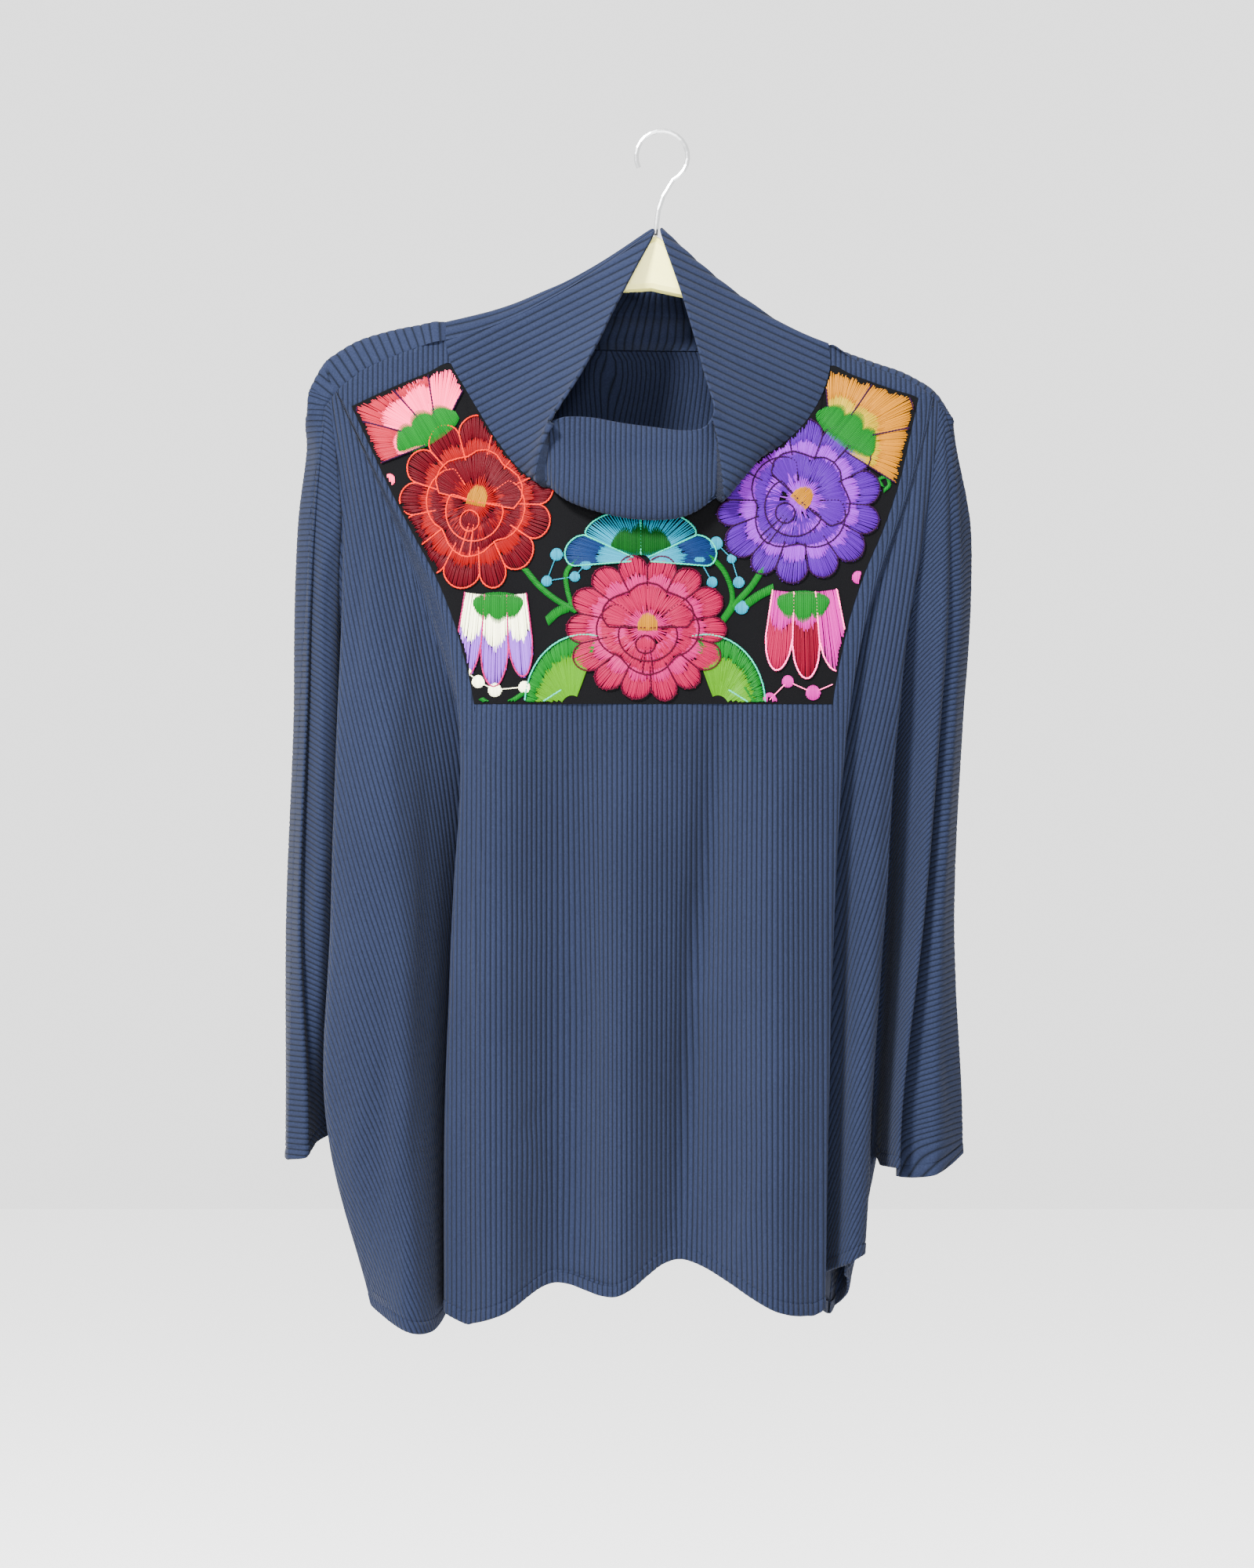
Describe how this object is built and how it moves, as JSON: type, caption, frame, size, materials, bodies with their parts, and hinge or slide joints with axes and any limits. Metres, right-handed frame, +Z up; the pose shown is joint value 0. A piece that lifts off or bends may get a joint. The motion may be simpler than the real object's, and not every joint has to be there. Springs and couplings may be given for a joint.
{
  "type": "long sleeve top on a hanger",
  "caption": "Wide dolman top in rib knit with a folded funnel collar and an embroidered yoke, hanging on a moulded hanger with a wire hook.",
  "frame": {"origin": "inside top of the hook's crown, where the rail carries the hanger", "axes": "+Z up, +X to the wearer's left (the viewer's right), -Y towards the viewer of the front"},
  "size_m": [0.5001, 0.1456, 0.8674],
  "materials": {
    "navy_knit": "matt ribbed knit",
    "black_cotton": "matt woven cotton",
    "thread_red": "lustrous satin stitch",
    "thread_purple": "lustrous satin stitch",
    "thread_pink": "lustrous satin stitch",
    "thread_turquoise": "lustrous satin stitch",
    "thread_salmon": "lustrous satin stitch",
    "thread_yellow": "lustrous satin stitch",
    "thread_lilac": "lustrous satin stitch",
    "thread_magenta": "lustrous satin stitch",
    "thread_lime": "lustrous satin stitch",
    "ivory_plastic": "satin moulded",
    "steel_wire": "bright drawn wire"
  },
  "bodies": {
    "root": {"front_panel": "navy_knit", "back_panel": "navy_knit", "collar": "navy_knit", "yoke": "black_cotton", "embroidery_red_flower": "thread_red", "embroidery_purple_flower": "thread_purple", "embroidery_pink_flower": "thread_pink", "embroidery_turquoise_bell": "thread_turquoise", "embroidery_salmon_bell": "thread_salmon", "embroidery_yellow_bell": "thread_yellow", "embroidery_lilac_bell": "thread_lilac", "embroidery_magenta_bell": "thread_magenta", "embroidery_left_leaf": "thread_lime", "embroidery_right_leaf": "thread_lime", "hanger_body": "ivory_plastic", "hanger_hook": "steel_wire"}
  },
  "joints": []
}
